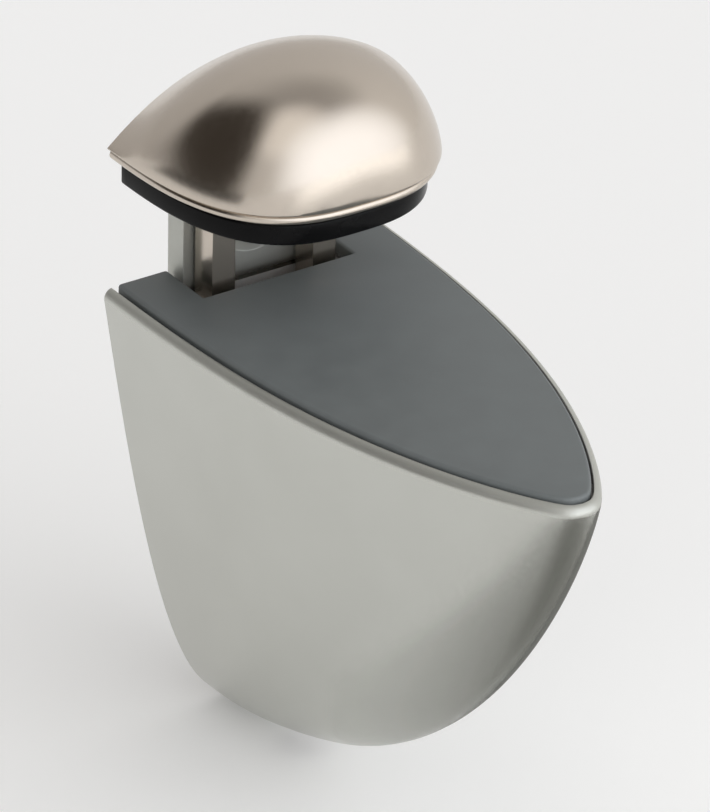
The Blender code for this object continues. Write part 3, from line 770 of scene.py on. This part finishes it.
make_pouch()
make_dome()
make_pads()
make_screw()
dress_small_parts()


# Node helpers for floor, cards and world

def toward(azimuth_deg, elevation_deg):
    """Direction as a vector. Azimuth 0 is away from the wall and grows to the right."""
    azimuth = math.radians(azimuth_deg)
    elevation = math.radians(elevation_deg)
    return Vector((math.sin(azimuth) * math.cos(elevation), -math.cos(azimuth) * math.cos(elevation),
                   math.sin(elevation)))


def plain_math(nodes, links, operation, first, second):
    """Math node; the second value is a socket or a number."""
    node = nodes.new("ShaderNodeMath")
    node.operation = operation
    links.new(first, node.inputs[0])
    if isinstance(second, float):
        node.inputs[1].default_value = second
    else:
        links.new(second, node.inputs[1])
    return node.outputs["Value"]


def vector_math(nodes, links, operation, vector, constant=None):
    """Vector math node with a vector socket and, where the operation needs it, a constant."""
    node = nodes.new("ShaderNodeVectorMath")
    node.operation = operation
    links.new(vector, node.inputs[0])
    if constant is not None:
        node.inputs[1].default_value = constant
    return node.outputs["Value" if operation in ("DOT_PRODUCT", "LENGTH") else "Vector"]


def smooth_share(nodes, links, value, start, end):
    """Share that grows smoothly from 0 at the start value to 1 at the end value."""
    share = nodes.new("ShaderNodeMapRange")
    share.interpolation_type = "SMOOTHSTEP"
    share.inputs["From Min"].default_value = start
    share.inputs["From Max"].default_value = end
    links.new(value, share.inputs["Value"])
    return share.outputs["Result"]


def direction_share(nodes, links, direction, centre, outer_deg, inner_deg):
    """1 within the inner angle of the centre direction, fading to 0 at the outer angle."""
    towards = vector_math(nodes, links, "DOT_PRODUCT", direction, centre)
    return smooth_share(nodes, links, towards, math.cos(math.radians(outer_deg)),
                        math.cos(math.radians(inner_deg)))


def oval_share(nodes, links, direction, start, end, outer_deg, inner_deg):
    """1 within an oval that leans from the start direction to the end one, fading to 0 around it."""
    along = (end - start).normalized()
    offset = vector_math(nodes, links, "SUBTRACT", direction, (start + end).normalized())
    length = vector_math(nodes, links, "DOT_PRODUCT", offset, along)
    squeezed = nodes.new("ShaderNodeVectorMath")
    squeezed.operation = "MULTIPLY_ADD"
    squeezed.inputs[1].default_value = -OVAL_SQUEEZE * along
    links.new(length, squeezed.inputs[0])
    links.new(offset, squeezed.inputs[2])
    distance = vector_math(nodes, links, "LENGTH", squeezed.outputs["Vector"])
    return smooth_share(nodes, links, distance, 2.0 * math.sin(math.radians(0.5 * outer_deg)),
                        2.0 * math.sin(math.radians(0.5 * inner_deg)))


def towards_colour(nodes, links, share, colour, other):
    """Blend the colour socket towards a constant colour by the share."""
    mix = nodes.new("ShaderNodeMix")
    mix.data_type = "RGBA"
    mix.inputs["B"].default_value = (*other, 1.0)
    links.new(share, mix.inputs["Factor"])
    links.new(colour, mix.inputs["A"])
    return mix.outputs["Result"]


# Floor

FLOOR_GLOW = 0.13
FLOOR_LEVEL = cad_low.z - 0.3 * MM
FLOOR_HALF_WIDTH = 4.0
FLOOR_SLAB = 0.02
FLOOR_LIGHT = (0.898, 0.894, 0.886)
FLOOR_DARK = (0.888, 0.884, 0.876)
FLOOR_CLOUD_SCALE = 6.0
FLOOR_ROUGHNESS = 0.7
MATT_SPECULAR = 0.1


def make_floor():
    """Pale matt floor that keeps the shadow, a little brighter where it is seen or mirrored."""
    material, nodes, links, shader = new_material("floor")
    place = nodes.new("ShaderNodeTexCoord").outputs["Object"]
    cloud = noise(nodes, links, place, FLOOR_CLOUD_SCALE, GRAIN_DETAIL)
    colour = blended(nodes, links, ranged(nodes, links, cloud, 0.0, 1.0), FLOOR_DARK, FLOOR_LIGHT)
    links.new(colour, shader.inputs["Base Color"])
    shader.inputs["Roughness"].default_value = FLOOR_ROUGHNESS
    shader.inputs["Specular IOR Level"].default_value = MATT_SPECULAR
    rays = nodes.new("ShaderNodeLightPath")
    seen = rays.outputs["Is Camera Ray"]
    for kind in ("Is Glossy Ray", "Is Transmission Ray"):
        seen = plain_math(nodes, links, "MAXIMUM", seen, rays.outputs[kind])
    glow = plain_math(nodes, links, "MULTIPLY", seen, FLOOR_GLOW)
    shader.inputs["Emission Color"].default_value = (1.0, 1.0, 1.0, 1.0)
    links.new(glow, shader.inputs["Emission Strength"])
    half = FLOOR_HALF_WIDTH
    outline = [(-half, -half), (half, -half), (half, half), (-half, half)]
    extruded("floor", outline, FLOOR_LEVEL - FLOOR_SLAB, FLOOR_LEVEL, plan_point, material)


# Cards that show only in reflections, where they paint dark and bright reflections into the metal;
# outlined as (across, out) in metres

CARD_LIFT = 0.5 * MM
CARD_THICKNESS = 1.0 * MM
CARD_CLOUD_SCALE = 8.0
CARD_ROUGHNESS = 0.9
LEFT_CARD = [(-0.30, -0.22), (-0.30, 0.10), (-3.5, 1.3), (-3.5, -2.6)]
FRONT_CARD = [(-0.010, 0.014), (0.042, 0.014), (0.042, 0.106), (-0.054, 0.106), (-0.054, 0.080)]
FRONT_CARD_CENTRE = (0.000, 0.055)
FRONT_CARD_RADIUS = 0.046
SIDE_CARD = [(0.005, -0.010), (0.060, -0.010), (0.060, 0.056), (0.001, 0.056), (0.001, 0.024)]
SIDE_CARD_LIFT = 2.0 * MM
SIDE_CARD_CENTRE = (0.031, 0.023)
SIDE_CARD_CLEAR = 0.029
SIDE_CARD_FULL = 0.018
BRIGHT_CARD = [(-0.07, 0.13), (0.13, 0.03), (3.4, 0.6), (2.0, 3.0), (-1.4, 3.2)]
BRIGHT_CARD_CENTRE = (0.0, 0.016)
BRIGHT_CARD_START = 0.10
BRIGHT_CARD_FULL = 0.34
BRIGHT_CARD_AZIMUTH = 22.0
BRIGHT_CARD_HALF_ANGLE = 50.0
# Glow of the bright card, which is no lamp: a painted highlight in the metal
BRIGHT_CARD_COLOUR = (0.96, 0.98, 1.0)
BRIGHT_CARD_STRENGTH = 0.95


def make_card(name, outline, colour, other_colour, lift=CARD_LIFT):
    """Matt card on the floor that the camera doesn't see, so it only paints a reflection into the
    metal. Returns its material and its height.
    """
    material, nodes, links, shader = new_material(name)
    place = nodes.new("ShaderNodeTexCoord").outputs["Object"]
    cloud = noise(nodes, links, place, CARD_CLOUD_SCALE, GRAIN_DETAIL)
    blend = blended(nodes, links, cloud, colour, other_colour)
    links.new(blend, shader.inputs["Base Color"])
    shader.inputs["Roughness"].default_value = CARD_ROUGHNESS
    shader.inputs["Specular IOR Level"].default_value = MATT_SPECULAR
    low = FLOOR_LEVEL + lift
    card = extruded(name, outline, low, low + CARD_THICKNESS, plan_point, material)
    card.visible_camera = False
    card.visible_diffuse = False
    card.visible_shadow = False
    return material, low


def soft_edge(material, centre, clear_at, full_at, azimuth_deg=None, half_angle_deg=None):
    """Let the material fade in from clear_at to full_at around the centre, all round or only
    up to the half angle on each side of the azimuth."""
    nodes = material.node_tree.nodes
    links = material.node_tree.links
    place = nodes.new("ShaderNodeTexCoord").outputs["Object"]
    offset = vector_math(nodes, links, "SUBTRACT", place, centre)
    distance = vector_math(nodes, links, "LENGTH", offset)
    share = smooth_share(nodes, links, distance, clear_at, full_at)
    if azimuth_deg is not None:
        unit = vector_math(nodes, links, "NORMALIZE", offset)
        turn = vector_math(nodes, links, "DOT_PRODUCT", unit, toward(azimuth_deg, 0.0))
        sector = smooth_share(nodes, links, turn, math.cos(math.radians(half_angle_deg)), 1.0)
        share = plain_math(nodes, links, "MULTIPLY", share, sector)
    mix = nodes.new("ShaderNodeMixShader")
    links.new(share, mix.inputs["Fac"])
    links.new(nodes.new("ShaderNodeBsdfTransparent").outputs["BSDF"], mix.inputs[1])
    links.new(nodes["Principled BSDF"].outputs["BSDF"], mix.inputs[2])
    links.new(mix.outputs["Shader"], nodes["Material Output"].inputs["Surface"])


def make_cards():
    """Painted reflections: the dark card left and the grey cards round the nose paint shade into the
    metal, and the glowing bright card in front on the right paints a highlight.
    """
    # Dark card on the left: a painted dark reflection on the left of the dome and the flank
    make_card("left_card", LEFT_CARD, colour=(0.030, 0.027, 0.024),
              other_colour=(0.036, 0.032, 0.028))
    # Grey cards round the nose: painted shade, a dark strip in the nose's reflection
    material, height = make_card("front_card", FRONT_CARD, colour=(0.27, 0.27, 0.255),
                                 other_colour=(0.30, 0.30, 0.285))
    soft_edge(material, plan_point(*FRONT_CARD_CENTRE, height), FRONT_CARD_RADIUS, 0.0)
    material, height = make_card("side_card", SIDE_CARD, colour=(0.25, 0.25, 0.24),
                                 other_colour=(0.27, 0.27, 0.26), lift=SIDE_CARD_LIFT)
    soft_edge(material, plan_point(*SIDE_CARD_CENTRE, height), SIDE_CARD_CLEAR, SIDE_CARD_FULL)
    # Bright card glows though it is no lamp: a painted highlight in the metal in front on the right
    material, height = make_card("bright_card", BRIGHT_CARD, colour=(0.88, 0.87, 0.85),
                                 other_colour=(0.90, 0.89, 0.87))
    shader = material.node_tree.nodes["Principled BSDF"]
    shader.inputs["Emission Color"].default_value = (*BRIGHT_CARD_COLOUR, 1.0)
    shader.inputs["Emission Strength"].default_value = BRIGHT_CARD_STRENGTH
    soft_edge(material, plan_point(*BRIGHT_CARD_CENTRE, height), BRIGHT_CARD_START,
              BRIGHT_CARD_FULL, BRIGHT_CARD_AZIMUTH, BRIGHT_CARD_HALF_ANGLE)


# World

BRIGHTER_SIDE = toward(30.0, 0.0)
DARKER_WALLS = (0.55, 0.54, 0.53)
BRIGHTER_WALLS = (0.90, 0.89, 0.87)
CEILING = (0.40, 0.39, 0.38)
CEILING_START = 0.65

# Soft lights as (centre, outer angle, inner angle, colour)
SOFT_LIGHTS = ((toward(-48.0, 61.0), 40.0, 6.0, (1.10, 1.08, 1.05)),
               (toward(14.0, 12.0), 68.0, 11.0, (1.70, 1.75, 1.84)))

# Dark side that the dome mirrors on the left
DARK_START = toward(-95.0, 1.0)
DARK_END = toward(-132.0, 55.0)
DARK_OUTER = 38.0
DARK_INNER = 19.0
DARK_COLOUR = (0.050, 0.043, 0.036)
OVAL_SQUEEZE = 0.42


def make_world():
    """Pale surroundings with a large soft light in front and a dark side on the left."""
    world = bpy.data.worlds.new("studio")
    bpy.context.scene.world = world
    world.use_nodes = True
    nodes = world.node_tree.nodes
    links = world.node_tree.links
    direction = nodes.new("ShaderNodeTexCoord").outputs["Generated"]
    sideways = nodes.new("ShaderNodeMapRange")
    sideways.inputs["From Min"].default_value = -1.0
    links.new(vector_math(nodes, links, "DOT_PRODUCT", direction, BRIGHTER_SIDE),
              sideways.inputs["Value"])
    colour = blended(nodes, links, sideways.outputs["Result"], DARKER_WALLS, BRIGHTER_WALLS)
    height = vector_math(nodes, links, "DOT_PRODUCT", direction, (0.0, 0.0, 1.0))
    upwards = smooth_share(nodes, links, height, CEILING_START, 1.0)
    colour = towards_colour(nodes, links, upwards, colour, CEILING)
    for centre, outer_deg, inner_deg, light in SOFT_LIGHTS:
        share = direction_share(nodes, links, direction, centre, outer_deg, inner_deg)
        colour = towards_colour(nodes, links, share, colour, light)
    share = oval_share(nodes, links, direction, DARK_START, DARK_END, DARK_OUTER, DARK_INNER)
    colour = towards_colour(nodes, links, share, colour, DARK_COLOUR)
    links.new(colour, nodes["Background"].inputs["Color"])


# Key lamp and camera

KEY_PLACE = 1.6 * toward(16.0, 22.0)
KEY_AIM = Vector((0.0, -0.02, 0.0))
KEY_SIDE = 1.05
KEY_POWER = 4.2
KEY_COLOUR = (1.0, 0.985, 0.96)
CAMERA_PLACE = Vector((-0.5786, -0.8910, 0.5653))
CAMERA_AIM = Vector((-0.0019, -0.0181, -0.0041))
CAMERA_LEAN = math.radians(0.7)
CAMERA_LENS = 750.0
CAMERA_SENSOR = 36.0
CAMERA_REACH = 20.0


def make_key_lamp():
    """Large soft lamp that shows in no reflection."""
    lamp = bpy.data.lights.new("key", "AREA")
    lamp.shape = "RECTANGLE"
    lamp.size = KEY_SIDE
    lamp.size_y = KEY_SIDE
    lamp.energy = KEY_POWER
    lamp.color = KEY_COLOUR
    item = bpy.data.objects.new("key", lamp)
    SHAPES.objects.link(item)
    item.location = KEY_PLACE
    item.rotation_euler = (KEY_AIM - KEY_PLACE).to_track_quat("-Z", "Y").to_euler()
    item.visible_glossy = False


def make_camera():
    """Camera with the photo's long lens and direction."""
    camera_data = bpy.data.cameras.new("camera")
    camera_data.sensor_width = CAMERA_SENSOR
    camera_data.lens = CAMERA_LENS
    camera_data.clip_end = CAMERA_REACH
    camera = bpy.data.objects.new("camera", camera_data)
    SHAPES.objects.link(camera)
    turn = (CAMERA_AIM - CAMERA_PLACE).to_track_quat("-Z", "Y").to_matrix()
    camera.rotation_euler = (turn @ Matrix.Rotation(CAMERA_LEAN, 3, "Z")).to_euler()
    camera.location = CAMERA_PLACE
    bpy.context.scene.camera = camera


make_floor()
make_cards()
make_world()
make_key_lamp()
make_camera()

bpy.context.scene.view_settings.view_transform = "Standard"
